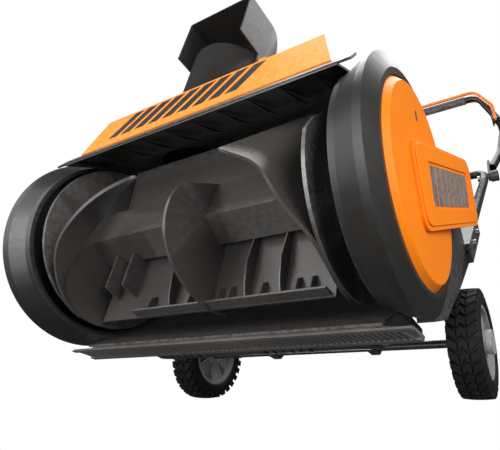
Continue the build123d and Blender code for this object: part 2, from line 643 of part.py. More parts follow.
with BuildPart() as deflector_knobs:
    for sign in SIDES.values():
        knob_low = CHUTE_X + sign * (DEFLECTOR_R + 0.8)
        knob_high = CHUTE_X + sign * (DEFLECTOR_R + 11)
        disc(knob_low, knob_high, 13, at=PIVOT_AT)
        disc(knob_low - sign, knob_low + sign * 0.7, PIVOT_R + RUNNING_GAP, at=PIVOT_AT, mode=Mode.SUBTRACT)
save(deflector_knobs, "deflector_knobs")


def scoop(shrink):
    """The solid form of the deflector, drawn in by a wall thickness where asked."""
    reach = DEFLECTOR_R - shrink
    front = DEFLECTOR_SIDE_Y - shrink
    foot = CHUTE_TOP - shrink
    crown = DEFLECTOR_TOP - shrink
    with BuildPart() as block:
        with BuildSketch(chute_plane(foot + 3)) as plan:
            Circle(reach)
            with Locations((0, DEFLECTOR_SIDE_Y / 2 - shrink)):
                Rectangle(2 * reach, -DEFLECTOR_SIDE_Y)
        extrude(plan.sketch, amount=DEFLECTOR_TOP - CHUTE_TOP)
        with BuildSketch(side_plane(CHUTE_X - DEFLECTOR_R, (CHUTE_Y, 0))) as profile:
            with BuildLine():
                Polyline((front, foot), (reach, foot), (reach, CHUTE_TOP + 45))
                ThreePointArc((reach, CHUTE_TOP + 45), (DEFLECTOR_R * 0.62, crown - 14), (0, crown))
                Polyline((0, crown), (front, crown - 4), (front, foot))
            make_face()
        extrude(profile.sketch, amount=2 * DEFLECTOR_R, mode=Mode.INTERSECT)
    return block.part


scoop_outside = scoop(0)
scoop_inside = scoop(WALL)
with BuildPart() as deflector:
    add(scoop_outside)
    add(scoop_inside, mode=Mode.SUBTRACT)
    for sign in SIDES.values():
        ear_x = CHUTE_X + sign * (DEFLECTOR_R - WALL)
        disc(ear_x, ear_x + sign * WALL, EAR_R, at=PIVOT_AT)
        with BuildSketch(side_plane(min(ear_x, ear_x + sign * WALL), (CHUTE_Y, DEFLECTOR_Z + 10))) as ear:
            Rectangle(2 * EAR_R, 20)
        extrude(ear.sketch, amount=WALL)
        ear_outside = ear_x + sign * (WALL + 1)
        disc(ear_x - sign, ear_outside, PIVOT_R + RUNNING_GAP, at=PIVOT_AT, mode=Mode.SUBTRACT)
save(deflector, "deflector")

# ---- lower frame and folding upper handle ------------------------------------------------------
LEG_SOCKET_DEPTH = 12.0
CROSS_YZ = (707.0, 556.0)
BOLT_R = 4.0
PLATE_X = (249.6, 255.6)
arm_points = [(ARM_X, 699, 562), (287, 737, 645), (304, 753, 755), (243, *BAR_YZ)]


def both_sides(points):
    """A route up the right side and back down the left side, as points of the machine."""
    right = [place(x, y, z) for x, y, z in points]
    left = [place(-x, y, z) for x, y, z in reversed(points)]
    return right + left


leg_start = (LEG_X, LEG_FOOT[0] + LEG_SOCKET_DEPTH * leg_run.Y, LEG_FOOT[1] + LEG_SOCKET_DEPTH * leg_run.Z)
with BuildPart() as lower_frame:
    leg_points = both_sides([leg_start, (LEG_X, *KNEE_YZ), (LEG_X, *CROSS_YZ)])
    tube_along(leg_points, [60, 28, 28, 60], TUBE_R, TUBE_BORE_R)
    disc(-LEG_X - 20, LEG_X + 20, BOLT_R + 0.02, at=FOLD_YZ, mode=Mode.SUBTRACT)
    for bolt_yz in leg_bolt_places:
        disc(-LEG_X - 20, LEG_X + 20, LEG_BOLT_R + 0.02, at=bolt_yz, mode=Mode.SUBTRACT)
save(lower_frame, "lower_frame")

with BuildPart() as fold_bolts:
    for sign in SIDES.values():
        disc(sign * (LEG_X - TUBE_R - 4), sign * (PLATE_X[1] + 14), BOLT_R, at=FOLD_YZ)
        disc(sign * (LEG_X - TUBE_R - 6), sign * (LEG_X - TUBE_R - 0.2), 8, at=FOLD_YZ)
save(fold_bolts, "fold_bolts")

plate_turn = degrees(atan2(arm_points[0][2] - FOLD_YZ[1], arm_points[0][1] - FOLD_YZ[0]))
with BuildPart() as upper_handle:
    tube_along(both_sides(arm_points), [100, 90, 50, 50, 90, 100], TUBE_R, TUBE_BORE_R)
    for sign in SIDES.values():
        with BuildSketch(side_plane(min(sign * PLATE_X[0], sign * PLATE_X[1]), FOLD_YZ)) as plate:
            with Locations(Location((0, 0), plate_turn)):
                with Locations((28, 0)):
                    SlotOverall(80, 24)
        extrude(plate.sketch, amount=PLATE_X[1] - PLATE_X[0])
        plate_ends = (sign * (PLATE_X[0] - 1), sign * (PLATE_X[1] + 1))
        disc(*plate_ends, BOLT_R + RUNNING_GAP, at=FOLD_YZ, mode=Mode.SUBTRACT)
save(upper_handle, "upper_handle")

for side, sign in SIDES.items():
    with BuildPart() as knob:
        disc(sign * (PLATE_X[1] + 0.3), sign * (PLATE_X[1] + 20), 15.5, at=FOLD_YZ)
        bore_ends = (sign * (PLATE_X[1] + 0.2), sign * (PLATE_X[1] + 14.1))
        disc(*bore_ends, BOLT_R + 0.02, at=FOLD_YZ, mode=Mode.SUBTRACT)
    save(knob, f"{side}_fold_knob")

# ---- bail, grip and switch box on the upper handle ---------------------------------------------
bail_points = [
    (286, *BAIL_PIVOT_YZ),
    (283, 706, 811),
    (238, BAR_YZ[0] + BAIL_OFFSET[0], BAR_YZ[1] + BAIL_OFFSET[1]),
]
GRIP_HALF_LENGTH = 206.0
BRACKET_GAP = 6.4
BRACKET_PLATE = 4.0
PIN_R = 3.0
with BuildPart() as handle_grip:
    disc(-GRIP_HALF_LENGTH, GRIP_HALF_LENGTH, GRIP_R, at=BAR_YZ)
    disc(-GRIP_HALF_LENGTH - 1, GRIP_HALF_LENGTH + 1, TUBE_R + 0.02, at=BAR_YZ, mode=Mode.SUBTRACT)
save(handle_grip, "handle_grip")

with BuildPart() as bail:
    tube_along(both_sides(bail_points), [30, 40, 40, 30], BAIL_R)
    for sign in SIDES.values():
        eye_x = sign * bail_points[0][0]
        disc(eye_x - 4, eye_x + 4, 9, at=BAIL_PIVOT_YZ)
        disc(eye_x - 7, eye_x + 7, PIN_R + RUNNING_GAP, at=BAIL_PIVOT_YZ, mode=Mode.SUBTRACT)
save(bail, "bail")

for side, sign in SIDES.items():
    eye_x = sign * bail_points[0][0]
    with BuildPart() as bracket:
        for low in (BRACKET_GAP, -BRACKET_GAP - BRACKET_PLATE):
            with BuildSketch(side_plane(eye_x + low, BAIL_PIVOT_YZ)) as lug:
                with Locations((12, 0)):
                    SlotOverall(42, 18)
                Circle(PIN_R + 0.02, mode=Mode.SUBTRACT)
            extrude(lug.sketch, amount=BRACKET_PLATE)
        with BuildSketch(side_plane(eye_x - BRACKET_GAP, BAIL_PIVOT_YZ)) as bridge:
            with Locations((16.5, 0)):
                Rectangle(5, 16)
        extrude(bridge.sketch, amount=2 * BRACKET_GAP)
    save(bracket, f"{side}_bail_bracket")

with BuildPart() as bail_pins:
    for sign in SIDES.values():
        eye_x = sign * bail_points[0][0]
        disc(eye_x - 12, eye_x + 12, PIN_R, at=BAIL_PIVOT_YZ)
save(bail_pins, "bail_pins")

BOX_PLACE = 0.27
# The switch box sits on the left arm; its own axes are across, rearwards and along the arm.
arm_low = Vector(*arm_points[1])
arm_high = Vector(*arm_points[2])
arm_middle = arm_low + (arm_high - arm_low) * BOX_PLACE
arm_run = Vector(arm_low.X - arm_high.X, arm_high.Y - arm_low.Y, arm_high.Z - arm_low.Z)
switch_frame = Plane(place(-arm_middle.X, arm_middle.Y, arm_middle.Z), x_dir=(1, 0, 0), z_dir=arm_run)
BOX_SIZE = (36.0, 88.0)
BOX_LENGTH = 100.0
BOX_SHIFT = 22.0
BOX_ACROSS = 5.8
HOOK_ACROSS = 19.0
BUTTON_R = 8.0
BUTTON_REACH = 5.0
BUTTON_DEPTH = 12.0
BUTTON_LIFT = 18.0
INLET_R = 16.0
INLET_LENGTH = 26.0
INLET_SHIFT = 42.0
box_back = BOX_SHIFT + BOX_SIZE[1] / 2


def box_plane(along=0.0):
    """A plane across the switch box, a given way up the arm."""
    return switch_frame.offset(along)


def button_plane(back):
    """A plane parallel to the box's rear face, at a given depth, centred on the button."""
    centre = switch_frame.from_local_coords((0, back, BUTTON_LIFT))
    return Plane(centre, x_dir=switch_frame.x_dir, z_dir=switch_frame.y_dir)


with BuildPart() as switch_box:
    with BuildSketch(box_plane(-BOX_LENGTH / 2)) as case:
        with Locations((BOX_ACROSS, BOX_SHIFT)):
            RectangleRounded(*BOX_SIZE, 10)
        Circle(TUBE_R + 0.4, mode=Mode.SUBTRACT)
    extrude(case.sketch, amount=BOX_LENGTH)
    with BuildSketch(button_plane(box_back - BUTTON_DEPTH)) as well:
        Circle(BUTTON_R + 0.3)
    extrude(well.sketch, amount=BUTTON_DEPTH + 1, mode=Mode.SUBTRACT)
save(switch_box, "switch_box")

with BuildPart() as lock_off_button:
    with BuildSketch(button_plane(box_back - BUTTON_DEPTH + 5)) as press:
        Circle(BUTTON_R)
    extrude(press.sketch, amount=BUTTON_DEPTH - 5 + BUTTON_REACH)
save(lock_off_button, "lock_off_button")

with BuildPart() as power_inlet:
    with BuildSketch(box_plane(-BOX_LENGTH / 2 - INLET_LENGTH)) as shroud:
        with Locations((0, INLET_SHIFT)):
            Circle(INLET_R)
    extrude(shroud.sketch, amount=INLET_LENGTH)
    with BuildSketch(box_plane(-BOX_LENGTH / 2 - INLET_LENGTH - 1)) as mouth:
        with Locations((0, INLET_SHIFT)):
            Circle(INLET_R - 2.5)
    extrude(mouth.sketch, amount=INLET_LENGTH - 3, mode=Mode.SUBTRACT)
    with BuildSketch(box_plane(-BOX_LENGTH / 2 - INLET_LENGTH + 4)) as blades:
        with Locations((0, INLET_SHIFT)):
            with GridLocations(12, 1, 2, 1):
                Rectangle(1.6, 6)
    extrude(blades.sketch, amount=INLET_LENGTH - 5)
save(power_inlet, "power_inlet")

HOOK_R = 2.5
hook_route = [(16, -0.1), (16, -24), (-2, -34), (-12, -20)]
with BuildPart() as cord_hook:
    with BuildLine() as hook_path:
        hook_points = [
            switch_frame.from_local_coords((HOOK_ACROSS, y, z - BOX_LENGTH / 2)) for y, z in hook_route
        ]
        FilletPolyline(*hook_points, radius=8)
    with BuildSketch(Plane(origin=hook_path.line @ 0, z_dir=hook_path.line % 0)) as hook_section:
        Circle(HOOK_R)
    sweep(hook_section.sketch, path=hook_path.wire())
save(cord_hook, "cord_hook")
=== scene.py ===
"""Materials, fine shapes and light for the single stage snow thrower.

Lengths are in millimetres from the middle of the auger axis, with X along it, Y to the rear and Z
up. The helper at() turns them into metres in the frame of the CAD bodies.
"""

import json
import math

import bmesh
import bpy
from mathutils import Matrix, Vector


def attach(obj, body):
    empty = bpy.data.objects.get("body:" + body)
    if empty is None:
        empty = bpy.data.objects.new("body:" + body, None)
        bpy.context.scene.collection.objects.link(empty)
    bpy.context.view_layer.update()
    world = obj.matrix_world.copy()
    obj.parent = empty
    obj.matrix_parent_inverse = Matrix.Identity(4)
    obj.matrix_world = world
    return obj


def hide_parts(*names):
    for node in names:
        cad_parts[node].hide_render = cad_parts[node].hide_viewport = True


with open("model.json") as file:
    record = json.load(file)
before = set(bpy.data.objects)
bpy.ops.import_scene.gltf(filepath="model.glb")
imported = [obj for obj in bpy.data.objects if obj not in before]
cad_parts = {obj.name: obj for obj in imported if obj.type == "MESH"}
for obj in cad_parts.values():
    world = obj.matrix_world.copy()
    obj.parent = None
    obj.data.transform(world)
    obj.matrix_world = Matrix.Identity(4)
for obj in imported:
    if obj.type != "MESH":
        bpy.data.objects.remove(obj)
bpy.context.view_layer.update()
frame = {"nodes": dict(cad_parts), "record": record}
scene = bpy.context.scene
nodes = frame["nodes"]

AUGER_Y, AUGER_Z = -338.2, 150.0
AXLE_YZ = (287.0, -73.5)
WHEEL_MID_X = 244.0
ROTOR_CLEAR_R = 119.4
MM_PER_METRE = 1000.0
SUNK = -0.2  # how deep raised details start below the face that they stand on
FLUSH = 0.25  # how far the painted shade sheets for gaps and slots stand proud of the face that they mark


def at(x, y, z):
    """A point given in millimetres from the auger axis, in metres in the CAD frame."""
    return Vector((x, AUGER_Y + y, AUGER_Z + z)) / MM_PER_METRE


# ---- camera: low in front of the right end, looking up into the mouth ---------------------------
CAMERA_PLACE = (362.222, -364.318, -292.794)
CAMERA_RIGHT = Vector((0.87253, 0.47615, 0.10946))
CAMERA_DOWN = Vector((-0.17188, 0.50887, -0.84351))
CAMERA_FORWARD = Vector((-0.45734, 0.71717, 0.52584))
camera_data = bpy.data.cameras.new("camera")
camera = bpy.data.objects.new("camera", camera_data)
scene.collection.objects.link(camera)
camera_turn = Matrix((CAMERA_RIGHT, -CAMERA_DOWN, -CAMERA_FORWARD)).transposed().to_4x4()
camera.matrix_world = Matrix.Translation(at(*CAMERA_PLACE)) @ camera_turn
camera_data.sensor_width = 36.0
camera_data.lens = 32.19
camera_data.shift_x = -0.1208
camera_data.shift_y = 0.0009
camera_data.clip_start = 0.01
scene.camera = camera


# ---- materials ---------------------------------------------------------------------------------
class Mat:
    """A node material with short calls for adding and joining nodes."""

    def __init__(self, name):
        self.material = bpy.data.materials.new(name)
        self.material.use_nodes = True
        self.tree = self.material.node_tree
        self.shader = self.tree.nodes["Principled BSDF"]
        self.coords = self.tree.nodes.new("ShaderNodeTexCoord").outputs["Object"]

    def node(self, kind, inputs=None, **settings):
        made = self.tree.nodes.new("ShaderNode" + kind)
        for key, value in settings.items():
            setattr(made, key, value)
        for key, value in (inputs or {}).items():
            if isinstance(value, bpy.types.NodeSocket):
                self.tree.links.new(value, made.inputs[key])
            else:
                made.inputs[key].default_value = value
        return made

    def noise(self, scale, detail=4.0, stretch=(1, 1, 1)):
        mapped = self.node("Mapping", {"Vector": self.coords, "Scale": stretch}).outputs[0]
        inputs = {"Vector": mapped, "Scale": scale, "Detail": detail}
        return self.node("TexNoise", inputs).outputs[0]

    def ramp(self, factor, stops):
        made = self.node("ValToRGB", {"Fac": factor})
        points = made.color_ramp.elements
        while len(points) < len(stops):
            points.new(0.5)
        for point, (place, colour) in zip(points, stops):
            point.position = place
            point.color = (*colour, 1)
        return made.outputs[0]

    def mix(self, factor, a, b):
        made = self.node("Mix", {0: factor}, data_type="RGBA")
        for socket, value in ((made.inputs[6], a), (made.inputs[7], b)):
            if isinstance(value, bpy.types.NodeSocket):
                self.tree.links.new(value, socket)
            else:
                socket.default_value = (*value, 1)
        return made.outputs[2]

    def span(self, value, low, high, to_low, to_high):
        return self.node("MapRange", {0: value, 1: low, 2: high, 3: to_low, 4: to_high}).outputs[0]

    def link(self, value, name):
        self.tree.links.new(value, self.shader.inputs[name])

    def bump(self, heights):
        last = None
        for height, distance, strength in heights:
            inputs = {"Height": height, "Distance": distance, "Strength": strength}
            if last is not None:
                inputs["Normal"] = last
            last = self.node("Bump", inputs).outputs[0]
        self.link(last, "Normal")


FLOW_SCALE, SPECK_SCALE, SCUFF_SCALE = 6.0, 160.0, 38.0
FLOW_DEPTH = 0.0002
WORN_FROM, WORN_TO, WORN_MOST = 0.56, 0.64, 0.55


def plastic(name, base, lift=1.35, rough=0.42, grain=900.0, depth=0.00012, wear=(0.3, 0.29, 0.28),
            specular=0.5, scuffs=0.05):
    """Moulded plastic: fine grain, faint flow marks, soft scuffs, and paler rubbed edges."""
    mat = Mat(name)
    broad = mat.noise(FLOW_SCALE, 5.0)
    fine = mat.noise(SPECK_SCALE, 6.0)
    grainy = mat.noise(grain, 2.0)
    light = tuple(min(1.0, c * lift) for c in base)
    dark = tuple(c / lift for c in base)
    colour = mat.ramp(broad, [(0.3, dark), (0.5, base), (0.72, light)])
    speck = mat.span(fine, 0.62, 0.8, 0.0, 0.35)
    colour = mat.mix(speck, colour, light)
    edge = mat.node("NewGeometry").outputs["Pointiness"]
    rubbed = mat.span(edge, WORN_FROM, WORN_TO, 0.0, WORN_MOST)
    patchy = mat.span(fine, 0.35, 0.6, 0.2, 1.0)
    broken = mat.node("Math", {0: rubbed, 1: patchy}, operation="MULTIPLY").outputs[0]
    colour = mat.mix(broken, colour, wear)
    mat.link(colour, "Base Color")
    scuff = mat.noise(SCUFF_SCALE, 6.0, (1, 1, 6))
    roughness = mat.span(scuff, 0.3, 0.75, rough - scuffs, rough + scuffs)
    mat.link(roughness, "Roughness")
    mat.shader.inputs["Specular IOR Level"].default_value = specular
    mat.bump([(grainy, depth, 0.5), (broad, FLOW_DEPTH, 0.25)])
    return mat.material


def metal(name, base, rough=0.3):
    """Plated or brushed metal with fine lines and dull patches."""
    mat = Mat(name)
    lines = mat.noise(240.0, 3.0, (1, 1, 40))
    patches = mat.noise(30.0, 5.0)
    dull = tuple(c * 0.72 for c in base)
    mat.link(mat.ramp(patches, [(0.35, dull), (0.65, base)]), "Base Color")
    mat.link(mat.span(lines, 0.3, 0.7, rough - 0.08, rough + 0.12), "Roughness")
    mat.shader.inputs["Metallic"].default_value = 1.0
    mat.bump([(lines, 0.00005, 0.4)])
    return mat.material


PLASTICS = {
    "black_plastic": dict(base=(0.017, 0.016, 0.015), rough=0.38, wear=(0.16, 0.15, 0.145)),
    # The rotor's plastic is paler than the black plastic so that the rotor looks lit by the front
    # light: painted light.
    "rotor_plastic": dict(
        base=(0.052, 0.048, 0.045), lift=1.15, rough=0.27, scuffs=0.02, wear=(0.35, 0.34, 0.33),
        depth=0.00006,
    ),
    "grey_plastic": dict(base=(0.140, 0.130, 0.123), rough=0.45, wear=(0.3, 0.29, 0.28)),
    "orange_plastic": dict(
        base=(0.93, 0.235, 0.010), lift=1.04, rough=0.33, specular=0.1, wear=(0.95, 0.42, 0.14)
    ),
    "orange_paint": dict(base=(0.93, 0.22, 0.010), lift=1.04, rough=0.3, wear=(0.9, 0.45, 0.2)),
    "rim_plastic": dict(base=(0.27, 0.27, 0.275), lift=1.15, rough=0.42, wear=(0.6, 0.6, 0.6)),
    "tyre_rubber": dict(
        base=(0.011, 0.011, 0.011), rough=0.6, grain=500.0, specular=0.15, wear=(0.06, 0.06, 0.06)
    ),
    "belt_rubber": dict(base=(0.015, 0.015, 0.015), rough=0.7, grain=500.0),
    "grip_rubber": dict(base=(0.018, 0.018, 0.018), rough=0.62, grain=700.0, depth=0.0001),
    "black_tube": dict(
        base=(0.014, 0.014, 0.014), rough=0.26, grain=1400.0, depth=0.00004, wear=(0.12, 0.12, 0.12)
    ),
    "motor_paint": dict(base=(0.10, 0.10, 0.11), rough=0.4),
    "nylon": dict(base=(0.52, 0.51, 0.47), lift=1.1, rough=0.4, wear=(0.7, 0.7, 0.66)),
}
MATS = {name: plastic(name, **look) for name, look in PLASTICS.items()}
MATS["steel"] = metal("steel", (0.58, 0.58, 0.59))
# A near-black material for thin sheets laid where slots and gaps would open: painted shade in place
# of the openings.
SLOT_SHADE_SHEET = plastic("slot_shadow", (0.006, 0.006, 0.006), rough=0.8)
MARK_BLACK = plastic("mark_black", (0.010, 0.010, 0.010), rough=0.5, wear=(0.03, 0.03, 0.03))
MARK_GREY = plastic("mark_grey", (0.10, 0.092, 0.086), rough=0.45)


def paint(node_object, material):
    """Puts one material into every slot of a CAD body."""
    slots = node_object.data.materials
    for index in range(len(slots)):
        slots[index] = material
    if not slots:
        slots.append(material)


for entry in frame["record"]["subparts"]:
    paint(nodes[entry["node"]], MATS[entry["material_slot"]])
paint(nodes["axle"], MATS["black_tube"])  # the axle is painted, unlike the bright steel parts


# ---- mesh helpers ------------------------------------------------------------------------------
SHARP_ANGLE = math.radians(35)
BEVEL_ANGLE = math.radians(30)


def piece(name, mesh_data, body, slot, material=None, bevel=0.0):
    """Makes an object from (vertices in mm from the auger axis, faces) and puts it on a body."""
    vertices, faces = mesh_data
    mesh = bpy.data.meshes.new(name)
    mesh.from_pydata([at(*v) for v in vertices], [], faces)
    work = bmesh.new()
    work.from_mesh(mesh)
    bmesh.ops.recalc_face_normals(work, faces=work.faces)
    work.to_mesh(mesh)
    work.free()
    made = bpy.data.objects.new(name, mesh)
    scene.collection.objects.link(made)
    mesh.materials.append(material or MATS[slot])
    if bevel:
        cut = made.modifiers.new("soft edges", "BEVEL")
        cut.width = bevel / MM_PER_METRE
        cut.segments = 2
        cut.limit_method = "ANGLE"
        cut.angle_limit = BEVEL_ANGLE
        cut.harden_normals = True
    else:
        sharp = made.modifiers.new("sharp edges", "EDGE_SPLIT")
        sharp.split_angle = SHARP_ANGLE
    mesh.shade_smooth()
    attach(made, body)
    return made


def joined(parts):
    """One (vertices, faces) pair from several."""
    vertices, faces = [], []
    for some_vertices, some_faces in parts:
        start = len(vertices)
        vertices.extend(some_vertices)
        faces.extend([tuple(i + start for i in face) for face in some_faces])
    return vertices, faces


def prism(bottom, top):
    """A closed solid between two rings of the same number of points."""
    count = len(bottom)
    faces = [tuple(reversed(range(count))), tuple(range(count, 2 * count))]
    for i in range(count):
        j = (i + 1) % count
        faces.append((i, j, count + j, count + i))
    return list(bottom) + list(top), faces


def along_x(x_low, x_high, outline):
    """A (y, z) outline extruded along X."""
    return prism([(x_low, y, z) for y, z in outline], [(x_high, y, z) for y, z in outline])


def plane_axes(origin, across, upward):
    """The origin, the two unit directions and the normal of a plane."""
    across, upward = Vector(across).normalized(), Vector(upward).normalized()
    return Vector(origin), across, upward, across.cross(upward)


def on_plane(origin, across, upward, points, height):
    """A prism standing on a plane: points are (across, up), height is along the plane's normal."""
    origin, across, upward, normal = plane_axes(origin, across, upward)
    low = [origin + across * a + upward * b for a, b in points]
    return prism([tuple(p + normal * SUNK) for p in low], [tuple(p + normal * height) for p in low])


def slanted_bar(left, width, bottom, top, lean):
    """A parallelogram whose top is shifted sideways."""
    return [(left, bottom), (left + width, bottom), (left + width + lean, top), (left + lean, top)]


# ---- hood: slanted stripes ---------------------------------------------------------------------
HOOD_ORIGIN, HOOD_UP = (0.0, -112.5, 93.5), (0.0, 8.5, 64.5)
STRIPE_COUNT, FIRST_STRIPE, STRIPE_PITCH, STRIPE_WIDTH = 9, -152.0, 26.0, 17.5
STRIPE_LOW, STRIPE_HIGH, STRIPE_LEAN, STRIPE_RAISED = 14.5, 60.5, 30.0, 0.35
stripes = []
for index in range(STRIPE_COUNT):
    left = FIRST_STRIPE + index * STRIPE_PITCH
    outline = slanted_bar(left, STRIPE_WIDTH, STRIPE_LOW, STRIPE_HIGH, STRIPE_LEAN)
    stripes.append(on_plane(HOOD_ORIGIN, (1, 0, 0), HOOD_UP, outline, STRIPE_RAISED))
piece("hood_stripes", joined(stripes), "base", "black_plastic", MARK_BLACK)

# ---- drive side cover: pod frame, panel bars and the painted shade of the small slot -----------
POD_MIDDLE = Vector((274.0, 67.0, 36.0))
POD_SLOPE = math.radians(32.0)  # how far the pod's upright edge leans forward
POD_RISE = math.atan2(16.0, 244.0)  # how the pod's face gets further out towards the rear
pod_up = Vector((0, -math.sin(POD_SLOPE), math.cos(POD_SLOPE)))
pod_normal = Vector((
    math.cos(POD_RISE),
    -math.sin(POD_RISE) * math.cos(POD_SLOPE),
    -math.sin(POD_RISE) * math.sin(POD_SLOPE),
))
pod_along = pod_up.cross(pod_normal)


def rounded(width, height, radius, centre=(0, 0), steps=6):
    """The outline of a rounded rectangle."""
    points = []
    for corner, (sx, sy) in enumerate(((1, 1), (-1, 1), (-1, -1), (1, -1))):
        for step in range(steps + 1):
            angle = math.pi / 2 * (corner + step / steps)
            x = centre[0] + sx * (width / 2 - radius) + radius * math.cos(angle)
            y = centre[1] + sy * (height / 2 - radius) + radius * math.sin(angle)
            points.append((x, y))
    return points


def ring(outer, inner, origin, across, upward, height):
    """A raised frame between two outlines with the same number of points."""
    origin, across, upward, normal = plane_axes(origin, across, upward)
    count = len(outer)
    vertices, faces = [], []
    for outline, lift in ((outer, SUNK), (outer, height), (inner, height), (inner, SUNK)):
        vertices.extend(tuple(origin + across * a + upward * b + normal * lift) for a, b in outline)
    for i in range(count):
        j = (i + 1) % count
        for band in range(4):
            low, high = band * count, ((band + 1) % 4) * count
            faces.append((low + i, low + j, high + j, high + i))
    return vertices, faces


POD_FRAME_OUTER = rounded(234, 83, 14)
POD_FRAME_INNER = rounded(178, 50, 6, (4, 0))
POD_FRAME_RAISED = 1.8
pod_frame = ring(POD_FRAME_OUTER, POD_FRAME_INNER, POD_MIDDLE, pod_along, pod_up, POD_FRAME_RAISED)
piece("pod_frame", pod_frame, "base", "orange_plastic", bevel=0.8)

BAR_COUNT, FIRST_BAR, BAR_PITCH, BAR_WIDTH = 8, -81.0, 20.6, 15.2
BAR_HALF_HEIGHT, BAR_LEAN, BAR_RAISED = 21.5, 7.0, 0.9
bars = []
for index in range(BAR_COUNT):
    left = FIRST_BAR + index * BAR_PITCH
    outline = slanted_bar(left, BAR_WIDTH, -BAR_HALF_HEIGHT, BAR_HALF_HEIGHT, BAR_LEAN)
    bars.append(on_plane(POD_MIDDLE, pod_along, pod_up, outline, BAR_RAISED))
piece("pod_bars", joined(bars), "base", "grey_plastic", MARK_GREY)

# The small slot is a near-black oval sheet lying on the cover: painted shade, with no opening cut.
SLOT_MIDDLE, SLOT_ALONG, SLOT_UP = (262.75, -29.0, 68.0), (0, -0.5, 0.87), (0, -0.87, -0.5)
SLOT_HALF_LENGTH, SLOT_HALF_WIDTH, SLOT_STEPS = 7.0, 3.2, 24
slot_outline = []
for step in range(SLOT_STEPS):
    angle = math.tau * step / SLOT_STEPS
    slot_outline.append((SLOT_HALF_LENGTH * math.cos(angle), SLOT_HALF_WIDTH * math.sin(angle)))
cover_slot_shade = on_plane(SLOT_MIDDLE, SLOT_ALONG, SLOT_UP, slot_outline, FLUSH)
piece("cover_slot_shade", cover_slot_shade, "base", "orange_plastic", SLOT_SHADE_SHEET)

# ---- housing: roof ribs, painted shade for the floor slots, and scraper ------------------------
ROOF_RIBS = (-190, -150, -108, -66, -24, 18, 60, 102, 144, 186)
ROOF_RIB_HALF = 1.2
ROOF_RIB_FRONT, ROOF_RIB_TOP = (-119.0, 71.0), (-61.0, 104.5)
rib_edge = []  # the side towards the rotor follows the circle that it sweeps
for degrees in (121, 127, 133):
    angle = math.radians(degrees)
    rib_edge.append((ROTOR_CLEAR_R * math.cos(angle), ROTOR_CLEAR_R * math.sin(angle)))
rib_outline = [ROOF_RIB_FRONT, ROOF_RIB_TOP, *rib_edge]
ribs = [along_x(x - ROOF_RIB_HALF, x + ROOF_RIB_HALF, rib_outline) for x in ROOF_RIBS]
piece("roof_ribs", joined(ribs), "base", "black_plastic", bevel=0.4)

# The floor slots are thin near-black strips lying on the housing floor: painted shade, with no
# openings cut.
DASH_COUNT, FIRST_DASH, DASH_PITCH, DASH_LENGTH = 17, -208.0, 26.0, 11.0
DASH_OUTLINE = [(19.5, -144.2), (22.0, -143.4), (22.0, -142.9), (19.5, -143.7)]
dashes = []
for index in range(DASH_COUNT):
    x = FIRST_DASH + index * DASH_PITCH
    dashes.append(along_x(x, x + DASH_LENGTH, DASH_OUTLINE))
piece("floor_slot_shades", joined(dashes), "base", "grey_plastic", SLOT_SHADE_SHEET)

SCRAPER_HALF = 242.0
SCRAPER_BLADE = [
    (14.0, -147.8), (52.0, -147.8), (58.0, -143.0), (52.0, -142.5), (21.0, -144.8), (17.0, -145.6)
]
SCRAPER_FRONT_RUNNER = [(12.0, -150.0), (20.0, -150.0), (20.0, -147.6), (16.0, -146.0)]
SCRAPER_REAR_RUNNER = [(44.0, -150.0), (52.0, -150.0), (56.0, -146.0), (44.0, -147.0)]
RAMP_FOOT_HALF = 206.0
RAMP_FOOT_FILLER = [(15.0, -146.0), (40.0, -146.0), (40.0, -127.0), (16.9, -144.9)]
RIB_PITCH, RIB_WIDTH, RIB_LEAN, RIB_MARGIN = 6.6, 3.2, 6.0, 8.0
RIB_FRONT, RIB_BACK, RIB_FOOT, RIB_TOP = 19.5, 44.5, -150.0, -147.6
parts = [
    along_x(-SCRAPER_HALF, SCRAPER_HALF, outline)
    for outline in (SCRAPER_BLADE, SCRAPER_FRONT_RUNNER, SCRAPER_REAR_RUNNER)
]
parts.append(along_x(-RAMP_FOOT_HALF, RAMP_FOOT_HALF, RAMP_FOOT_FILLER))
for index in range(int(2 * SCRAPER_HALF / RIB_PITCH) - 2):
    x = -SCRAPER_HALF + RIB_MARGIN + index * RIB_PITCH
    corners = [
        (x, RIB_FRONT), (x + RIB_WIDTH, RIB_FRONT),
        (x + RIB_WIDTH + RIB_LEAN, RIB_BACK), (x + RIB_LEAN, RIB_BACK),
    ]
    parts.append(prism(*([(a, b, level) for a, b in corners] for level in (RIB_FOOT, RIB_TOP))))
scraper = piece("scraper_ribbed", joined(parts), "base", "grey_plastic", bevel=0.3)
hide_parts("scraper_bar")

# ---- motor cover: louvred vents in the sloping rear panel, their gaps as painted shade, and screw heads ---
VENT_ORIGIN, VENT_ACROSS, VENT_UP = (0.0, 270.0, 66.0), (-1, 0, 0), (0.0, -60.0, 92.0)
VENT_LEFTS, VENT_LENGTH, LIP_RAISED = (-110.0, 18.0), 92.0, 2.2
VENT_ROWS, FIRST_VENT, VENT_PITCH, GAP_HEIGHT, LIP_TOP = 7, -38.0, 11.0, 4.6, 7.2
# Each vent gap is a near-black sheet lying on the panel under its lip: painted shade, with no
# opening cut.
vents, lips = [], []
for left in VENT_LEFTS:
    end = left + VENT_LENGTH
    for index in range(VENT_ROWS):
        low = FIRST_VENT + index * VENT_PITCH
        middle, high = low + GAP_HEIGHT, low + LIP_TOP
        gap = [(left, low), (end, low), (end, middle), (left, middle)]
        lip = [(left - 1, middle), (end + 1, middle), (end + 1, high), (left - 1, high)]
        vents.append(on_plane(VENT_ORIGIN, VENT_ACROSS, VENT_UP, gap, FLUSH))
        lips.append(on_plane(VENT_ORIGIN, VENT_ACROSS, VENT_UP, lip, LIP_RAISED))
piece("vent_gap_shades", joined(vents), "base", "black_plastic", SLOT_SHADE_SHEET)
piece("vent_lips", joined(lips), "base", "black_plastic", bevel=0.7)

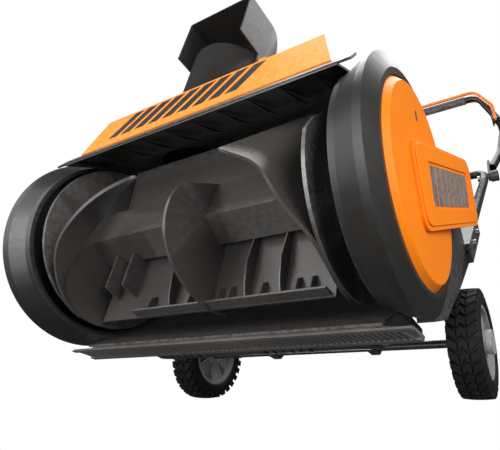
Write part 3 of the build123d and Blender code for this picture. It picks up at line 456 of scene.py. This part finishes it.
SCREW_R, SCREW_STEPS = 4.2, 24
# (radius as a share of the head's, height): the rim, the dome, and the recess with its four arms
SCREW_LEVELS = ((1.0, -0.2), (1.0, 0.8), (0.75, 1.5), (0.42, 1.7), (0.36, 0.9))


def screw_head(origin, across, upward):
    """A low domed screw head with a cross-shaped recess in its top."""
    origin, across, upward, normal = plane_axes(origin, across, upward)
    vertices, faces = [], []
    for share, lift in SCREW_LEVELS:
        for step in range(SCREW_STEPS):
            angle = math.tau * step / SCREW_STEPS
            arms = 1.0 if share > 0.5 else 1.0 + 0.35 * math.cos(4 * angle)
            reach = SCREW_R * share * arms
            a, b = reach * math.cos(angle), reach * math.sin(angle)
            vertices.append(tuple(origin + across * a + upward * b + normal * lift))
    last = (len(SCREW_LEVELS) - 1) * SCREW_STEPS
    for low in range(0, last, SCREW_STEPS):
        high = low + SCREW_STEPS
        for step in range(SCREW_STEPS):
            after = (step + 1) % SCREW_STEPS
            faces.append((low + step, low + after, high + after, high + step))
    faces.append(tuple(range(last, last + SCREW_STEPS)))
    faces.append(tuple(reversed(range(SCREW_STEPS))))
    return vertices, faces


heads = []
for x in (-136, 136):
    for t in (-0.4, 0.4):
        spot = (x, VENT_ORIGIN[1] + VENT_UP[1] * t, VENT_ORIGIN[2] + VENT_UP[2] * t)
        heads.append(screw_head(spot, VENT_ACROSS, VENT_UP))
piece("cover_screws", joined(heads), "base", "steel")


# ---- wheels: block treads and moulded rims ------------------------------------------------------
# Outlines and places across a wheel are counted from its middle, positive towards its outer face.
TYRE_PROFILE = (
    (-21, 52.1), (-23, 55), (-22.4, 64), (-21, 67), (-17, 69.5), (-8, 70.5),
    (8, 70.5), (17, 69.5), (21, 67), (22.4, 64), (23, 55), (21, 52.1),
)
RIM_PROFILE = (
    (-20, 52.0), (-20, 46.5), (-16, 47.0), (0, 45.5), (16, 47.0), (20, 46.5), (20, 52.0)
)
HUB_PROFILE = ((-17, 6.1), (-17, 14.5), (-15.5, 16.5), (19, 16.8), (20, 16.0), (20, 6.1))
TYRE_STEPS, RIM_STEPS, HUB_STEPS = 120, 96, 48
TREADS = 30
TREAD_STEP = math.tau / TREADS
TREAD_LOW_R, TREAD_HIGH_R, TREAD_DRAFT, TREAD_CROWN = 68.5, 76.4, 0.35, 0.003
# (start, end) round the tyre in tread steps, (start, end) across it, lean in tread steps
TREAD_BLOCKS = (
    ((0.0, 0.66), (-20.6, -7.4), 0.55),
    ((0.5, 1.16), (7.4, 20.6), -0.55),
    ((0.55, 1.2), (-6.4, 0.4), -0.4),
    ((0.15, 0.8), (-0.4, 6.4), 0.4),
)
RIM_SPOKES = 6
SPOKE_INNER_R, SPOKE_OUTER_R = 15.5, 47.0
# (low, high) across the wheel, half width at the hub, half width at the rim: the spoke, its ridge
SPOKE_BARS = (((-9, 10), 7.5, 15.0), ((9.5, 13), 3.0, 9.0))
SPOKE_LIP_X, SPOKE_LIP_AT_HUB, SPOKE_LIP_AT_RIM, SPOKE_LIP_WIDTH = 12, 6.8, 14.0, 1.6


def lathe(sign, profile, steps):
    """A closed (x, radius) outline turned about the wheel axle."""
    vertices, faces = [], []
    count = len(profile)
    for step in range(steps):
        angle = math.tau * step / steps
        for x, radius in profile:
            y = AXLE_YZ[0] + radius * math.cos(angle)
            vertices.append((sign * (WHEEL_MID_X + x), y, AXLE_YZ[1] + radius * math.sin(angle)))
    for step in range(steps):
        low, high = step * count, (step + 1) % steps * count
        for i in range(count):
            j = (i + 1) % count
            faces.append((low + i, low + j, high + j, high + i))
    return vertices, faces


def tread_block(sign, start_angle, end_angle, x_start, x_end, lean):
    """One raised block, its sides leaning round the tyre from one edge to the other."""
    rings = []
    for radius, shrink in ((TREAD_LOW_R, 0.0), (TREAD_HIGH_R, TREAD_DRAFT)):
        corners = [
            (x_start + shrink, start_angle), (x_end - shrink, start_angle + lean),
            (x_end - shrink, end_angle + lean), (x_start + shrink, end_angle),
        ]
        level = []
        for x, angle in corners:
            crowned = radius - abs(x) ** 2 * TREAD_CROWN
            y = AXLE_YZ[0] + crowned * math.cos(angle)
            level.append((sign * (WHEEL_MID_X + x), y, AXLE_YZ[1] + crowned * math.sin(angle)))
        rings.append(level)
    return prism(*rings)


def spoke_part(sign, angle, x_span, inner, outer):
    """A bar from the hub to the rim; inner and outer are its sideways limits at the two ends."""
    out = Vector((0, math.cos(angle), math.sin(angle)))
    across = Vector((0, -math.sin(angle), math.cos(angle)))
    hub = Vector((0, *AXLE_YZ))
    spots = [hub + out * SPOKE_INNER_R + across * sideways for sideways in inner]
    spots += [hub + out * SPOKE_OUTER_R + across * sideways for sideways in outer]
    return prism(*([(sign * (WHEEL_MID_X + x), spot.y, spot.z) for spot in spots] for x in x_span))


for side, sign in (("left", -1), ("right", 1)):
    blocks = [lathe(sign, TYRE_PROFILE, TYRE_STEPS)]
    for index in range(TREADS):
        turned = index * TREAD_STEP
        for (start, end), (x_start, x_end), lean in TREAD_BLOCKS:
            start_angle, end_angle = turned + TREAD_STEP * start, turned + TREAD_STEP * end
            blocks.append(
                tread_block(sign, start_angle, end_angle, x_start, x_end, TREAD_STEP * lean)
            )
    tyre = piece(f"{side}_tyre_tread", joined(blocks), f"{side}_wheel", "tyre_rubber", bevel=0.4)
    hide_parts(f"{side}_tyre")

    rim_parts = [lathe(sign, RIM_PROFILE, RIM_STEPS), lathe(sign, HUB_PROFILE, HUB_STEPS)]
    for spoke in range(RIM_SPOKES):
        angle = math.tau * spoke / RIM_SPOKES
        for x_span, at_hub, at_rim in SPOKE_BARS:
            rim_parts.append(spoke_part(sign, angle, x_span, (-at_hub, at_hub), (at_rim, -at_rim)))
        for way in (-1, 1):
            inner = [way * (SPOKE_LIP_AT_HUB + edge) for edge in (0, SPOKE_LIP_WIDTH)]
            outer = [way * (SPOKE_LIP_AT_RIM + edge) for edge in (SPOKE_LIP_WIDTH, 0)]
            rim_parts.append(spoke_part(sign, angle, (-SPOKE_LIP_X, SPOKE_LIP_X), inner, outer))
    rim = piece(
        f"{side}_rim_moulding", joined(rim_parts), f"{side}_wheel", "rim_plastic", bevel=0.7
    )
    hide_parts(f"{side}_wheel_rim")

# ---- rotor: ribs under the core and ledges along the edges of the lower paddles ------------------
TALL_RIB = [
    (0.2, -26.0), (0.2, -113.5), (-7.0, -113.5), (-13.0, -96.0), (-17.0, -70.0), (-11.5, -36.0)
]
SHORT_RIB = [(0.2, -90.0), (0.2, -113.5), (-12.0, -112.0), (-9.0, -96.0)]
PAIR_RIB = [(0.2, -30), (0.2, -88), (-27, -80), (-27, -34)]
LEDGE = [(0.2, -112.0), (0.2, -116.0), (-15.0, -113.6), (-15.0, -111.2)]
CORE_STRIP = [(-11.5, -36.2), (-46.2, -15.2), (-46.8, -16.4), (-12.0, -37.6)]
ROTOR_RIBS = (
    (TALL_RIB, 1.1, (-52, 62, 108)),
    (SHORT_RIB, 1.0, (-86, -20, 24, 40, 84, 128, 146)),
    (PAIR_RIB, 1.4, (-160, -128)),
)
ROTOR_STRIPS = (
    (LEDGE, ((-110, 5), (11, 166))),
    (CORE_STRIP, ((-96, 0), (30, 150))),
)
rotor_parts = []
for outline, half, places in ROTOR_RIBS:
    rotor_parts.extend(along_x(x - half, x + half, outline) for x in places)
for outline, spans in ROTOR_STRIPS:
    rotor_parts.extend(along_x(x_low, x_high, outline) for x_low, x_high in spans)
piece("rotor_ribs", joined(rotor_parts), "auger", "rotor_plastic", bevel=0.4)

# ---- floor: pale from above, clear from below ---------------------------------------------------
FLOOR_HALF = 60
FLOOR_GLOW = 0.8
floor_corners = [
    (-FLOOR_HALF, -FLOOR_HALF, 0), (FLOOR_HALF, -FLOOR_HALF, 0),
    (FLOOR_HALF, FLOOR_HALF, 0), (-FLOOR_HALF, FLOOR_HALF, 0),
]
floor_mesh = bpy.data.meshes.new("floor")
floor_mesh.from_pydata(floor_corners, [], [(0, 1, 2, 3)])
floor = bpy.data.objects.new("floor", floor_mesh)
scene.collection.objects.link(floor)
floor_mat = Mat("floor")
pale = floor_mat.ramp(floor_mat.noise(3.0), [(0.3, (0.80, 0.80, 0.80)), (0.7, (0.84, 0.84, 0.84))])
floor_mat.link(pale, "Base Color")
floor_mat.shader.inputs["Roughness"].default_value = 0.8
glow = floor_mat.node("Emission", {"Color": pale, "Strength": 1.0}).outputs[0]
body_and_glow = {0: FLOOR_GLOW, 1: floor_mat.shader.outputs[0], 2: glow}
lit = floor_mat.node("MixShader", body_and_glow).outputs[0]
clear = floor_mat.node("BsdfTransparent").outputs[0]
below = floor_mat.node("NewGeometry").outputs["Backfacing"]
both = floor_mat.node("MixShader", {0: below, 1: lit, 2: clear}).outputs[0]
floor_mat.tree.links.new(both, floor_mat.tree.nodes["Material Output"].inputs["Surface"])
floor_mesh.materials.append(floor_mat.material)
for ray in ("visible_diffuse", "visible_glossy", "visible_transmission", "visible_shadow"):
    setattr(floor, ray, False)

# ---- studio: a white backdrop that lights the machine only dimly, and six soft lights ------------
BACKDROP_STRENGTH, AMBIENT_STRENGTH = 1.0, 0.07
world = bpy.data.worlds.new("studio")
scene.world = world
world.use_nodes = True
sky = world.node_tree
backdrop = sky.nodes["Background"]
backdrop.inputs["Color"].default_value = (1.0, 1.0, 1.0, 1)
backdrop.inputs["Strength"].default_value = BACKDROP_STRENGTH
dim = sky.nodes.new("ShaderNodeBackground")
dim.inputs["Color"].default_value = (0.95, 0.97, 1.0, 1)
dim.inputs["Strength"].default_value = AMBIENT_STRENGTH
seen = sky.nodes.new("ShaderNodeLightPath").outputs["Is Camera Ray"]
choice = sky.nodes.new("ShaderNodeMixShader")
sky.links.new(seen, choice.inputs[0])
sky.links.new(dim.outputs[0], choice.inputs[1])
sky.links.new(backdrop.outputs[0], choice.inputs[2])
sky.links.new(choice.outputs[0], sky.nodes["World Output"].inputs["Surface"])


def area_light(name, place, target, size, power):
    """A soft rectangular light aimed at a point of the machine."""
    data = bpy.data.lights.new(name, "AREA")
    data.shape = "RECTANGLE"
    data.size, data.size_y = size
    data.energy = power
    made = bpy.data.objects.new(name, data)
    scene.collection.objects.link(made)
    spot, aim = at(*place), at(*target)
    facing = (aim - spot).to_track_quat("-Z", "Y").to_matrix().to_4x4()
    made.matrix_world = Matrix.Translation(spot) @ facing


area_light("key", (-750, -1900, -30), (-100, 0, 0), (0.55, 1.1), 16)
area_light("left", (-1140, -1425, 475), (0, 0, 0), (2.0, 1.6), 18)
area_light("side", (1600, -700, 250), (200, 50, 0), (1.4, 1.4), 33)
area_light("low_fill", (0, -1550, -760), (0, 0, 0), (1.7, 0.8), 20)
area_light("rear", (-1200, 2000, 1000), (0, 200, 200), (1.5, 1.5), 70)
area_light("overhead", (0, 400, 2600), (0, 200, 200), (2.2, 2.2), 70)
scene.view_settings.view_transform = "Standard"
